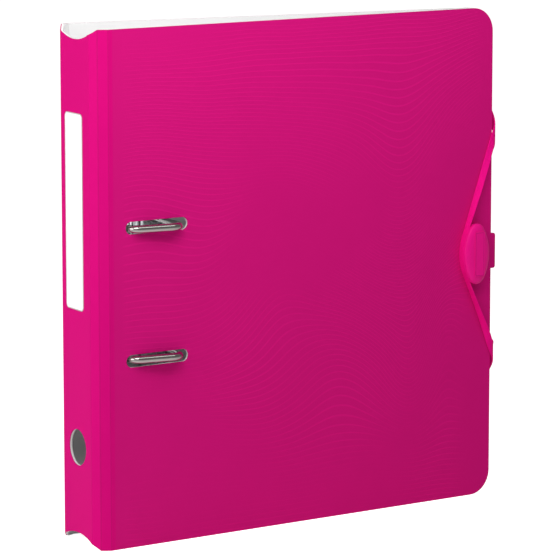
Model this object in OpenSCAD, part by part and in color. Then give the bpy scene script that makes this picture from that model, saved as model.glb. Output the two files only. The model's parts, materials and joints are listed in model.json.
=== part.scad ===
// Lever arch binder with a wedge-shaped polypropylene case, two rings that
// show through slots in the front cover, and an elastic closure on a button.
//
// Frame: +Z up, the binder standing on its lower edges. The back cover lies
// in the XZ plane with its fore-edge at +X, and the front cover is on the -Y
// side. The origin is the middle of the back cover's lower edge.

/* [Case] */
// Height of the covers and the spine
cover_h = 318; // [250:1:400]
// Width of each cover, from its outer fold line to the fore-edge
cover_w = 291; // [220:1:350]
// Width of the flat spine panel
spine_w = 37.5; // [30:0.5:70]
// Width of each narrow strip between two fold lines
strip_w = 6.1; // [4:0.1:9]
// Thickness of the pale core of the sheet
core_t = 1.4; // [1:0.1:2.5]
// Thickness of the coloured outer skin of the sheet
skin_t = 0.5; // [0.4:0.05:0.8]
// Depth of the V pressed into the skin along each fold line
crease_d = 0.35; // [0.2:0.05:0.4]
// Radius of the covers' outer corners
corner_r = 15.3; // [5:0.1:30]
// Gap left between the closed covers at the fore-edge
fore_gap = 0.4; // [0.2:0.1:3]
// Depth of the arched notch at each end of the spine
notch_d = 7.15; // [3:0.05:12]

/* [Spine] */
// Diameter of the finger hole
hole_d = 22.5; // [15:0.5:28]
// Height of the finger hole's centre above the base
hole_z = 60.5; // [35:0.1:80]
// Width of the spine label
label_w = 23; // [12:0.5:26]
// Height of the spine label
label_h = 120.4; // [60:0.1:150]
// Distance from the case's top edge to the label
label_drop = 51.8; // [20:0.1:70]
// Shift of the label from the spine's middle towards the back cover
label_shift = 1.5; // [0:0.1:3]
// Thickness of the label
label_t = 0.25; // [0.1:0.05:0.5]
// Radius of the label's corners
label_r = 3; // [1:0.1:5]

/* [Ring slots] */
// Distance from the front cover's fold line to a slot's near end
slot_setback = 11.7; // [8:0.1:20]
// Length of each slot
slot_l = 44.5; // [34:0.1:60]
// Space beside the wire in its slot, on each side
slot_side_gap = 1.45; // [1:0.05:3]
// Extra pitch of the slots over the pitch of the rings
slot_spread = 1.6; // [0:0.1:1.8]
// Space in the slot beyond the ring, at the spine end
slot_gap_near = 0.6; // [0.4:0.1:3]
// Space in the slot beyond the ring, at the fore-edge end
slot_gap_far = 4.4; // [3.5:0.1:8]

/* [Rings] */
// Distance between the two rings
ring_pitch = 80; // [70:0.5:110]
// Distance of the rings' middle below the case's mid-height
ring_drop = 2.4; // [0:0.1:10]
// Diameter of the ring wire
wire_d = 4.8; // [3.5:0.1:6]
// Diameter of the posts under the rings' tips
post_d = 4; // [3:0.1:5]
// Height of the rings' centre line above the front cover, at mid-slot
ring_proud = 4.6; // [2.5:0.1:8]
// Radius of the rings' two upper corners, on the centre line
ring_corner_r = 7.5; // [5:0.1:10]
// Distance from the top of a ring down to the joint with its post
tip_drop = 14; // [11:0.5:25]
// Height of the arch wire's pivot axis above the back cover's inner face
axis_h = 5.6; // [5:0.1:9]
// Sideways throw of the crank in the arch wire
crank_throw = 9.3; // [8.8:0.1:12]

/* [Mechanism] */
// Length of the base plate
plate_l = 164; // [120:1:200]
// Thickness of the base plate
plate_t = 1; // [0.8:0.1:1.5]
// Overhang of the base plate beyond the ring legs
plate_overhang = 9.5; // [8:0.5:14]
// Overall width of the lever's channel
lever_w = 11; // [10:0.5:12]
// Height of the lever's channel
lever_d = 9.7; // [9:0.1:12]
// Wall of the lever's channel
lever_t = 1.2; // [1:0.1:1.5]
// Radius of the roller under the lever
roller_r = 4; // [3:0.1:4.5]
// Diameter of the lever's hinge pin
pin_d = 3; // [2:0.1:4]
// Length of the compressor bar
bar_l = 124; // [100:1:160]
// Width of the compressor bar
bar_w = 16; // [13:0.5:18]
// Thickness of the compressor bar
bar_t = 1.6; // [1:0.1:3]

/* [Closure] */
// Width of the flat elastic
band_w = 4.5; // [3:0.1:6]
// Thickness of the flat elastic
band_t = 0.9; // [0.8:0.1:1.4]
// Distance from the case's top edge down to the elastic's upper anchor
anchor_drop = 35; // [20:1:80]
// Height of the elastic's lower anchor above the case's bottom edge
anchor_rise = 54; // [20:1:80]
// Distance from the fore-edge to the elastic's anchors
anchor_in = 13; // [8:0.5:30]
// Half the width of the button's cap
cap_a = 9.9; // [8:0.1:14]
// Half the height of the button's cap
cap_b = 19.7; // [14:0.1:25]
// Thickness of the button's cap
cap_t = 3.4; // [2:0.1:5]
// Height of the button's and the tongue's middle above the case's mid-height
button_lift = 1; // [0:0.5:5]
// Distance from the fore-edge to the button's middle
button_in = 16.2; // [14:0.1:30]
// How far the front cover's finger tongue reaches past the fore-edge
tongue_l = 3.5; // [2:0.1:6]
// Height of the finger tongue
tongue_h = 23; // [15:0.5:40]

/* [Hidden] */

$fn = 96;
eps = 0.01;
joint_gap = 0.03;   // half the slit left between two panels at a fold line
fit = 0.06;         // radial clearance of a shaft that turns
loose = 0.3;        // clearance between pieces that pass each other
lay_gap = 0.15;     // air between the elastic and what it lies on

PINK = [0.80, 0.05, 0.45];
WHITE = [0.92, 0.92, 0.92];
STEEL = [0.75, 0.76, 0.78];
BLACK = [0.08, 0.08, 0.09];

// ---- the folded case, in plan ----
sheet_t = core_t + skin_t;

// For a wedge of w degrees: the angle of each fold, the case's depth across its
// fold lines at the spine, and what is left of that at the fore-edge
function fold_turn(w) = 30 + w / 6;
function spine_depth(w) = let(a = fold_turn(w))
    strip_w * (sin(a) + sin(2 * a) + sin(4 * a) + sin(5 * a)) + spine_w * sin(3 * a);
function spare_depth(w) = spine_depth(w) - cover_w * sin(w) - 2 * (sheet_t - crease_d) - fore_gap;
// The wedge angle at which the closed covers just meet at the fore-edge
function closed_wedge(lo, hi, n) = let(m = (lo + hi) / 2)
    n == 0 ? m : spare_depth(m) > 0 ? closed_wedge(m, hi, n - 1) : closed_wedge(lo, m, n - 1);

wedge = closed_wedge(0, 40, 30);
turn = fold_turn(wedge);                     // angle of each of the six folds
out_y = core_t / 2 + skin_t;                 // the back cover's outer face
in_y = -core_t / 2;                          // the back cover's inner face

// Panels 0 to 6: back cover, two strips, spine, two strips, front cover
panel_len = [cover_w, strip_w, strip_w, spine_w, strip_w, strip_w, cover_w];
function heading(k) = 180 + k * turn;
function panel_start(k) = k == 0 ? [cover_w / 2, out_y - crease_d] :
    panel_start(k - 1) + panel_len[k - 1] * [cos(heading(k - 1)), sin(heading(k - 1))];

// How far a panel's end stands back from its fold line, at a depth in the sheet
function set_back(depth) = joint_gap +
    (depth < crease_d ? crease_d - depth : (depth - crease_d) * tan(turn / 2));

// Panel frame: x along the panel from the back cover round to the front,
// y inwards from the outer face, z up
module on_panel(k) {
    translate(panel_start(k)) rotate([0, 0, heading(k)]) translate([0, -crease_d, 0]) children();
}

module panel_section(k, d0, d1) {
    steps = d0 < crease_d && crease_d < d1 ? [d0, crease_d, d1] : [d0, d1];
    last = len(steps) - 1;
    near = [for (d = steps) [k == 0 ? 0 : set_back(d), d]];
    far = [for (i = [last : -1 : 0]) [panel_len[k] - (k == 6 ? -2 * tongue_l : set_back(steps[i])), steps[i]]];
    polygon(concat(near, far));
}

// One layer of one panel, between two depths, cut to an outline drawn in x and z
module panel_layer(k, d0, d1) {
    on_panel(k) intersection() {
        linear_extrude(cover_h) panel_section(k, d0, d1);
        translate([0, 2 * sheet_t, 0]) rotate([90, 0, 0]) linear_extrude(4 * sheet_t) children();
    }
}

module skin(k) { color(PINK) panel_layer(k, 0, skin_t) children(); }
module core(k) { color(WHITE) panel_layer(k, skin_t, sheet_t) children(); }

// ---- outlines ----
module round_rect(w, h, r) {
    translate([r, 0]) square([w - 2 * r, h]);
    translate([0, r]) square([w, h - 2 * r]);
    for (x = [r, w - r], y = [r, h - r]) translate([x, y]) circle(r);
}

// A cover with its fold line at x = 0
module cover_outline() {
    square([cover_w - corner_r, cover_h]);
    translate([cover_w - corner_r, corner_r]) square([corner_r, cover_h - 2 * corner_r]);
    for (z = [corner_r, cover_h - corner_r]) translate([cover_w - corner_r, z]) circle(corner_r);
}

// Circle of the arched notches, whose chord runs between the middle folds
notch_half = spine_w / 2 + strip_w;
notch_r = (notch_half * notch_half + notch_d * notch_d) / (2 * notch_d);

module end_notches(middle_x) {
    for (z = [notch_d - notch_r, cover_h - notch_d + notch_r])
        translate([middle_x, z]) circle(notch_r, $fn = 180);
}

module strip_outline(middle_x) {
    difference() {
        square([strip_w, cover_h]);
        end_notches(middle_x);
    }
}

module spine_outline() {
    difference() {
        square([spine_w, cover_h]);
        end_notches(spine_w / 2);
        translate([spine_w / 2, hole_z]) circle(d = hole_d);
    }
}

// ---- levels of the mechanism ----
mid_z = cover_h / 2;
ring_z = mid_z - ring_drop;
button_z = mid_z + button_lift;
wire_r = wire_d / 2;
front_turn = [cos(wedge), sin(wedge)];
front_fold = panel_start(6);

// Distance from the back cover's fold line of a point u along the front cover
function x_on_front(u) = front_fold[0] + cover_w / 2 + u * front_turn[0] + crease_d * front_turn[1];
// Height above the back cover's inner face of the front cover's outer face at u
function h_on_front(u) = in_y - (front_fold[1] + u * front_turn[1] - crease_d * front_turn[0]);

slot_h = wire_d + 2 * slot_side_gap;
slot_pitch = ring_pitch + slot_spread;
slot_mid = slot_setback + slot_l / 2;
near_x = x_on_front(slot_setback) + slot_gap_near + wire_r;             // ring legs
post_x = x_on_front(slot_setback + slot_l) - slot_gap_far - wire_r;     // ring posts
top_h = h_on_front(slot_mid) + ring_proud;
tip_h = top_h - tip_drop;
lever_x = near_x + crank_throw;
plate_x0 = near_x - plate_overhang;
plate_x1 = post_x + plate_overhang;

// Back cover frame: x from the fold line to the fore-edge, y up the cover,
// z above the cover's inner face
module on_back() {
    translate([-cover_w / 2, in_y, 0]) rotate([90, 0, 0]) children();
}

// ---- rivets ----
rivet_r = 2;
rivet_inset = 7;
rivet_head_r = 4.5;
rivet_head_t = 1;
rivet_clench_r = 3.4;
function rivet_x(far) = far ? plate_x1 - rivet_inset : plate_x0 + rivet_inset;
function rivet_y(upper) = ring_z + (upper ? 1 : -1) * (plate_l / 2 - rivet_inset);

module rivet(upper, far) {
    color(STEEL) on_back() translate([rivet_x(far), rivet_y(upper), 0]) {
        translate([0, 0, -sheet_t - rivet_head_t / 2]) cylinder(h = rivet_head_t / 2, r = rivet_head_r);
        translate([0, 0, -sheet_t - rivet_head_t])
            cylinder(h = rivet_head_t / 2, r1 = rivet_head_r - 1.2, r2 = rivet_head_r);
        translate([0, 0, -sheet_t]) cylinder(h = sheet_t + plate_t, r = rivet_r);
        translate([0, 0, plate_t]) cylinder(h = 0.7, r1 = rivet_clench_r, r2 = rivet_clench_r - 0.6);
    }
}

// ---- elastic route ----
anchor_zs = [anchor_rise, cover_h - anchor_drop];
anchor_hole_r = 2.6;
neck_h = band_w + 0.3;
neck_a = cap_a - band_t;
neck_b = cap_b - band_t;
end_r = 6;                                   // radius of the cap's narrow ends
button_u = cover_w - button_in;
band_start_in = button_in + 3.6;             // where the band leaves the neck
fore_front_y = out_y - 2 * sheet_t - fore_gap;
wrap_x = cover_w / 2 + loose;
wrap_y = (out_y + fore_front_y) / 2;
wrap_r = (out_y - fore_front_y) / 2 + lay_gap;
wrap_run = PI * (wrap_r + band_t / 2);
route_run = band_start_in + wrap_run + anchor_in;
// The functions below take side 1 for the upper half of the elastic and -1 for the lower
function anchor_z(side) = anchor_zs[side > 0 ? 1 : 0];
function route_rise(side) = side * (anchor_z(side) - button_z) - cap_b;
// Distance from the button's middle where the band reaches the fore-edge, front and back
function rise_front(side) = cap_b + route_rise(side) * band_start_in / route_run;
function rise_back(side) = cap_b + route_rise(side) * (band_start_in + wrap_run) / route_run;

// ---- case panels ----
module back_outline() {
    difference() {
        translate([cover_w, 0]) mirror([1, 0]) cover_outline();
        for (upper = [false, true], far = [false, true])
            translate([cover_w - rivet_x(far), rivet_y(upper)]) circle(rivet_r + 0.05);
        for (z = anchor_zs) translate([anchor_in, z]) circle(anchor_hole_r);
    }
}

module slot_outline() {
    r = slot_h / 2;
    translate([r, -r]) square([slot_l - slot_h, slot_h]);
    for (x = [r, slot_l - r]) translate([x, 0]) circle(r);
}

stem_r = 3;
module front_outline() {
    difference() {
        union() {
            cover_outline();
            translate([cover_w - corner_r, button_z - tongue_h / 2])
                round_rect(corner_r + tongue_l, tongue_h, 1.5);
        }
        for (side = [-1, 1])
            translate([slot_setback, ring_z + side * slot_pitch / 2]) slot_outline();
        translate([button_u, button_z]) circle(stem_r + 0.05);
    }
}

module back_skin() { skin(0) back_outline(); }
module back_core() { core(0) back_outline(); }
module back_strip_outer_skin() { skin(1) square([strip_w, cover_h]); }
module back_strip_outer_core() { core(1) square([strip_w, cover_h]); }
module back_strip_inner_skin() { skin(2) strip_outline(strip_w + spine_w / 2); }
module back_strip_inner_core() { core(2) strip_outline(strip_w + spine_w / 2); }
module spine_skin() { skin(3) spine_outline(); }
module spine_core() { core(3) spine_outline(); }
module front_strip_inner_skin() { skin(4) strip_outline(-spine_w / 2); }
module front_strip_inner_core() { core(4) strip_outline(-spine_w / 2); }
module front_strip_outer_skin() { skin(5) square([strip_w, cover_h]); }
module front_strip_outer_core() { core(5) square([strip_w, cover_h]); }
module front_skin() { skin(6) front_outline(); }
module front_core() { core(6) front_outline(); }

module spine_label() {
    color("white") on_panel(3)
        translate([spine_w / 2 - label_shift - label_w / 2, 0, cover_h - label_drop - label_h])
            rotate([90, 0, 0]) linear_extrude(label_t) round_rect(label_w, label_h, label_r);
}

// ---- base plate ----
sleeve_y = ring_pitch / 2 - 12;              // middle of each wire bearing
sleeve_l = 8;
sleeve_wall = 1.2;
pin_r = pin_d / 2;
pin_y = ring_z + ring_pitch / 2 - 11;        // the lever's hinge
pin_h = axis_h + wire_r + 5;
ear_r = 4;
ear_t = 1.5;
ear_x = lever_w / 2 - lever_t - loose - ear_t;
tenon_r = 1.6;

module wire_bearing(y) {
    bore_r = wire_r + fit;
    translate([near_x, y - sleeve_l / 2, 0]) difference() {
        union() {
            translate([0, 0, axis_h]) rotate([-90, 0, 0]) cylinder(h = sleeve_l, r = bore_r + sleeve_wall);
            translate([-bore_r, 0, plate_t - eps]) cube([2 * bore_r, sleeve_l, axis_h - plate_t]);
        }
        translate([0, -1, axis_h]) rotate([-90, 0, 0]) cylinder(h = sleeve_l + 2, r = bore_r);
    }
}

module lever_ear(side) {
    x0 = side < 0 ? -ear_x - ear_t : ear_x;
    translate([lever_x + x0, pin_y, 0]) difference() {
        union() {
            translate([0, -ear_r, plate_t - eps]) cube([ear_t, 2 * ear_r, pin_h - plate_t]);
            translate([0, 0, pin_h]) rotate([0, 90, 0]) cylinder(h = ear_t, r = ear_r);
        }
        translate([-1, 0, pin_h]) rotate([0, 90, 0]) cylinder(h = ear_t + 2, r = pin_r + 0.02);
    }
}

module base_plate() {
    bead_x = (lever_x + lever_w / 2 + post_x - bar_w / 2) / 2;
    color(STEEL) on_back() {
        difference() {
            linear_extrude(plate_t) difference() {
                translate([plate_x0, ring_z - plate_l / 2]) round_rect(plate_x1 - plate_x0, plate_l, 6);
                for (upper = [false, true], far = [false, true])
                    translate([rivet_x(far), rivet_y(upper)]) circle(rivet_r + 0.05);
                for (side = [-1, 1])
                    translate([post_x, ring_z + side * ring_pitch / 2]) circle(tenon_r + 0.02);
            }
        }
        for (side = [-1, 1]) wire_bearing(ring_z + side * sleeve_y);
        for (side = [-1, 1]) lever_ear(side);
        // stiffening bead
        intersection() {
            translate([bead_x, ring_z - ring_pitch / 2, plate_t - 0.6]) rotate([-90, 0, 0])
                cylinder(h = ring_pitch, r = 1.6);
            translate([bead_x - 2, ring_z - ring_pitch / 2, plate_t / 2]) cube([4, ring_pitch, 2]);
        }
    }
}

// ---- posts ----
collar_h = 2;
foot_h = 3.2;
foot_r = wire_r + 0.2;
nose_h = 1.5;
nose_r = wire_r - 0.8;

module ring_post(side) {
    foot_z = plate_t + collar_h;
    color(STEEL) on_back() translate([post_x, ring_z + side * ring_pitch / 2, 0]) {
        translate([0, 0, 0.05]) cylinder(h = plate_t, r = tenon_r);
        translate([0, 0, plate_t]) cylinder(h = collar_h, r = 4);
        translate([0, 0, foot_z]) cylinder(h = foot_h, r = foot_r);
        translate([0, 0, foot_z + foot_h]) cylinder(h = tip_h - loose - foot_z - foot_h, d = post_d);
        translate([0, 0, tip_h - loose]) cylinder(h = nose_h, r1 = nose_r, r2 = nose_r - nose_h + 0.1);
    }
}

module ring_post_upper() { ring_post(1); }
module ring_post_lower() { ring_post(-1); }

// ---- the arch wire: both rings, the pivot run and the crank, bent from one rod ----
axis_bend_r = 5;
crank_bend_r = 4;
crank_half = 7;

module elbow(r, from) {
    rotate([0, 0, from]) rotate_extrude(angle = 90) translate([r, 0]) circle(wire_r);
}

module rod(length) { cylinder(h = length, r = wire_r); }

// The half above the rings' middle
module arch_half() {
    ring_y = ring_pitch / 2;
    side_h = top_h - ring_corner_r;
    run_end = crank_half + 2 * crank_bend_r;
    cross = crank_throw - 2 * crank_bend_r;
    difference() {
        translate([post_x, ring_y, tip_h]) rod(side_h - tip_h);
        translate([post_x, ring_y, tip_h - eps])
            cylinder(h = nose_h + loose, r1 = nose_r + 0.35, r2 = nose_r + 0.35 - nose_h);
    }
    translate([post_x - ring_corner_r, ring_y, side_h]) rotate([90, 0, 0]) elbow(ring_corner_r, 0);
    translate([near_x + ring_corner_r, ring_y, top_h]) rotate([0, 90, 0])
        rod(post_x - near_x - 2 * ring_corner_r);
    translate([near_x + ring_corner_r, ring_y, side_h]) rotate([90, 0, 0]) elbow(ring_corner_r, 90);
    translate([near_x, ring_y, axis_h + axis_bend_r]) rod(side_h - axis_h - axis_bend_r);
    translate([near_x, ring_y - axis_bend_r, axis_h + axis_bend_r]) rotate([90, 0, 90])
        elbow(axis_bend_r, -90);
    translate([near_x, run_end, axis_h]) rotate([-90, 0, 0]) rod(ring_y - axis_bend_r - run_end);
    translate([near_x + crank_bend_r, run_end, axis_h]) elbow(crank_bend_r, 180);
    translate([near_x + crank_bend_r, run_end - crank_bend_r, axis_h]) rotate([0, 90, 0]) rod(cross);
    translate([lever_x - crank_bend_r, crank_half, axis_h]) elbow(crank_bend_r, 0);
    translate([lever_x, -eps, axis_h]) rotate([-90, 0, 0]) rod(crank_half + eps);
}

module arch_wire() {
    color(STEEL) on_back() translate([0, ring_z, 0]) {
        arch_half();
        mirror([0, 1, 0]) arch_half();
    }
}

// ---- lever ----
lever_end_y = ring_z - ring_pitch / 2 + wire_r + 3.6;
lever_h0 = axis_h + wire_r + 0.8;            // underside of the channel
web_end = ear_r + 2.5;                       // the web stops short of the ears
roller_h = axis_h + 2 * loose / 3 + wire_r + roller_r;
roller_pin_r = 1.2;
grip_l = 14;

// Section of the channel, grown by g on every side
module channel(y0, y1, web_y1, g) {
    half = lever_w / 2;
    for (x = [-half, half - lever_t])
        translate([lever_x + x - g, y0, lever_h0 - g]) cube([lever_t + 2 * g, y1 - y0, lever_d + 2 * g]);
    translate([lever_x - half - g, y0, lever_h0 + lever_d - lever_t - g])
        cube([lever_w + 2 * g, web_y1 - y0, lever_t + 2 * g]);
}

module across(y, h, r, length) {
    translate([lever_x - length / 2, y, h]) rotate([0, 90, 0]) cylinder(h = length, r = r);
}

module lever_arm() {
    cheek_r = lever_d / 2;
    color(STEEL) on_back() difference() {
        union() {
            channel(lever_end_y, pin_y, pin_y - web_end, 0);
            for (x = [-lever_w / 2, lever_w / 2 - lever_t])
                translate([lever_x + x, pin_y, lever_h0 + cheek_r]) rotate([0, 90, 0])
                    cylinder(h = lever_t, r = cheek_r);
        }
        across(pin_y, pin_h, pin_r + fit, lever_w + 2);
        across(ring_z, roller_h, roller_pin_r + 0.02, lever_w + 2);
    }
}

module headed_pin(y, h, r, head_r) {
    reach = lever_w / 2 + loose;
    across(y, h, r, 2 * reach + 1.4);
    for (x = [-reach - 0.7, reach]) translate([lever_x + x, y, h]) rotate([0, 90, 0])
        cylinder(h = 0.7, r = head_r);
}

module lever_pin() { color(STEEL) on_back() headed_pin(pin_y, pin_h, pin_r, pin_r + 0.9); }
module roller_pin() { color(STEEL) on_back() headed_pin(ring_z, roller_h, roller_pin_r, roller_pin_r + 0.8); }

module roller() {
    length = lever_w - 2 * lever_t - 2 * loose;
    color(WHITE) on_back() difference() {
        across(ring_z, roller_h, roller_r, length);
        across(ring_z, roller_h, roller_pin_r + fit, length + 2);
    }
}

module lever_grip() {
    side = 1;
    w = lever_w + 2 * side;
    h = lever_d + side;
    y0 = lever_end_y - side;
    color(BLACK) on_back() difference() {
        union() {
            translate([lever_x - w / 2, y0 + 2, lever_h0]) cube([w, grip_l - 2, h]);
            translate([lever_x - w / 2 + 2, y0, lever_h0]) cube([w - 4, 4, h]);
            for (x = [-w / 2 + 2, w / 2 - 2])
                translate([lever_x + x, y0 + 2, lever_h0]) cylinder(h = h, r = 2);
            across(y0 + grip_l / 2, lever_h0 + h, 1.6, w - 2);
        }
        channel(lever_end_y, pin_y, pin_y, 0.05);
    }
}

// ---- compressor bar ----
bar_h0 = plate_t + collar_h + loose;
module compressor_bar() {
    rib_w = 1.2;
    rib_h = 2.2;
    color(STEEL) on_back() translate([post_x - bar_w / 2, ring_z - bar_l / 2, bar_h0]) {
        linear_extrude(bar_t) difference() {
            round_rect(bar_w, bar_l, 5);
            for (side = [-1, 1])
                translate([bar_w / 2, bar_l / 2 + side * ring_pitch / 2]) circle(foot_r + loose);
        }
        for (x = [0, bar_w - rib_w]) translate([x, 6, bar_t - eps]) cube([rib_w, bar_l - 12, rib_h]);
    }
}

// ---- button ----
// An oval of four arcs, half-width a and half-height b, with ends of radius r
module oval(a, b, r) {
    side_r = (a * a + (b - r) * (b - r) - r * r) / (2 * (a - r));
    join_y = (b - r) * side_r / (side_r - r);
    intersection() {
        translate([side_r - a, 0]) circle(side_r, $fn = 180);
        translate([a - side_r, 0]) circle(side_r, $fn = 180);
        translate([-a, -join_y]) square([2 * a, 2 * join_y]);
    }
    for (y = [r - b, b - r]) translate([0, y]) circle(r);
}

// Front cover frame: x from the fold line, y up the cover, z out of its face
module on_front() {
    on_panel(6) rotate([90, 0, 0]) children();
}

module at_button(h) {
    on_front() translate([button_u, button_z, h]) children();
}

washer_t = 0.7;
module button_neck() {
    color(PINK) {
        at_button(0) linear_extrude(neck_h) oval(neck_a, neck_b, end_r - band_t);
        at_button(-sheet_t) cylinder(h = sheet_t + eps, r = stem_r);
    }
}

module button_cap() {
    color(PINK) at_button(neck_h) {
        linear_extrude(cap_t * 0.6) oval(cap_a, cap_b, end_r);
        translate([0, 0, cap_t * 0.6]) linear_extrude(cap_t * 0.4) oval(cap_a - 1.5, cap_b - 1.5, end_r - 1.5);
    }
}

module button_washer() {
    color(STEEL) at_button(-sheet_t - washer_t) cylinder(h = washer_t, r = 5.5);
}

// ---- elastic ----
// A flat strap from p to q in the XY plane, band_t thick above it
module strap(p, q) {
    d = q - p;
    translate(p) rotate([0, 0, atan2(d[1], d[0])]) translate([0, -band_w / 2, 0])
        cube([norm(d), band_w, band_t]);
}

module elastic_half(side) {
    wrap_reach = band_w;
    front = rise_front(side);
    back = rise_back(side);
    on_front() translate([0, button_z, lay_gap]) intersection() {
        strap([cover_w - band_start_in, side * (cap_b + 0.4)], [cover_w + 2, side * (front + 1)]);
        translate([0, -cover_h, 0]) cube([cover_w, 2 * cover_h, band_t]);
    }
    translate([wrap_x, wrap_y, button_z + (side > 0 ? front - wrap_reach : -back)])
        rotate([0, 0, -90]) rotate_extrude(angle = 180)
            translate([wrap_r, 0]) square([band_t, back - front + wrap_reach]);
}

module elastic_loop() {
    color(PINK) {
        elastic_half(1);
        elastic_half(-1);
        // round the back of the neck, standing on edge
        at_button(lay_gap) linear_extrude(band_w) intersection() {
            difference() {
                oval(neck_a + lay_gap + band_t, neck_b + lay_gap + band_t, end_r + lay_gap);
                oval(neck_a + lay_gap, neck_b + lay_gap, end_r - band_t + lay_gap);
            }
            translate([-2 * cap_a, -2 * cap_b]) square([2 * cap_a, 4 * cap_b]);
        }
    }
}

// From the anchor hole up or down the back to the fore-edge
module elastic_back(side) {
    color(PINK) translate([0, out_y + lay_gap + band_t, 0]) rotate([90, 0, 0]) intersection() {
        strap(
            [cover_w / 2 - anchor_in, anchor_z(side)],
            [wrap_x + 2, button_z + side * (rise_back(side) - 1)]
        );
        translate([0, 0, -1]) cube([wrap_x - 0.05, cover_h, band_t + 2]);
    }
}

module elastic_back_upper() { elastic_back(1); }
module elastic_back_lower() { elastic_back(-1); }

// The crimped bar that holds an end of the elastic inside the back cover
module elastic_end(z) {
    bar = [10, 3.2, 1];
    color(STEEL) on_back() translate([cover_w - anchor_in, z, 0]) {
        translate([-bar[0] / 2, -bar[1] / 2, lay_gap]) cube(bar);
        translate([0, 0, -sheet_t]) cylinder(h = sheet_t + lay_gap, r = 1.4);
    }
}

module elastic_end_upper() { elastic_end(anchor_zs[1]); }
module elastic_end_lower() { elastic_end(anchor_zs[0]); }

module rivet_upper_near() { rivet(true, false); }
module rivet_upper_far() { rivet(true, true); }
module rivet_lower_near() { rivet(false, false); }
module rivet_lower_far() { rivet(false, true); }

back_skin();
back_core();
back_strip_outer_skin();
back_strip_outer_core();
back_strip_inner_skin();
back_strip_inner_core();
spine_skin();
spine_core();
front_strip_inner_skin();
front_strip_inner_core();
front_strip_outer_skin();
front_strip_outer_core();
front_skin();
front_core();
spine_label();
base_plate();
ring_post_upper();
ring_post_lower();
arch_wire();
lever_arm();
lever_pin();
lever_grip();
roller();
roller_pin();
compressor_bar();
rivet_upper_near();
rivet_upper_far();
rivet_lower_near();
rivet_lower_far();
button_neck();
button_cap();
button_washer();
elastic_loop();
elastic_back_upper();
elastic_back_lower();
elastic_end_upper();
elastic_end_lower();
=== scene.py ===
"""Lever arch binder with a folding plastic case, standing closed on a pale floor."""

import json
import logging
import math
from dataclasses import dataclass, field
from enum import Enum
from typing import Sequence

import bmesh
import bpy
from mathutils import Matrix, Vector


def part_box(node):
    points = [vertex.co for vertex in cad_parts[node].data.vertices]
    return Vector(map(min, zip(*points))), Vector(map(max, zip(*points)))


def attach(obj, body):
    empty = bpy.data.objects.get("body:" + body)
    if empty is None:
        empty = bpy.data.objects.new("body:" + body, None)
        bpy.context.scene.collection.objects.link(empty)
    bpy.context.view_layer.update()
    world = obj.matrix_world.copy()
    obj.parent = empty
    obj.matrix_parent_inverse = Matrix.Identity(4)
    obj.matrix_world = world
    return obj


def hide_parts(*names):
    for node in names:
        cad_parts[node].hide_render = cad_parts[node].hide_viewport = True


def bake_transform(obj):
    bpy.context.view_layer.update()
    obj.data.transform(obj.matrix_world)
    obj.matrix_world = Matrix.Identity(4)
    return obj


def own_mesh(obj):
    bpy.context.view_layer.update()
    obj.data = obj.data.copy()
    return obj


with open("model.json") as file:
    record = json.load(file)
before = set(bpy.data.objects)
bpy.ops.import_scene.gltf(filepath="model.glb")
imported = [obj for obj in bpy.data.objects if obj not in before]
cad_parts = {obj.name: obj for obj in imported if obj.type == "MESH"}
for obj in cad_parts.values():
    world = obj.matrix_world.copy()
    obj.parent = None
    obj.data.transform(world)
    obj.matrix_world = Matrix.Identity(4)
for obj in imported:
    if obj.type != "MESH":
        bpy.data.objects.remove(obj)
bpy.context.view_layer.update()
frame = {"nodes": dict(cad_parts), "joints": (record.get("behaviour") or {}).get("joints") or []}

MM = 0.001
UP = Vector((0, 0, 1))
INSIDE = Vector((-0.06, -0.02, 0))
WHITE = (1, 1, 1, 1)
log = logging.getLogger("binder")

Socket = bpy.types.NodeSocket
Value = float | Socket
Plugs = dict[str, Socket]


# ---- shader nodes ----


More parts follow.
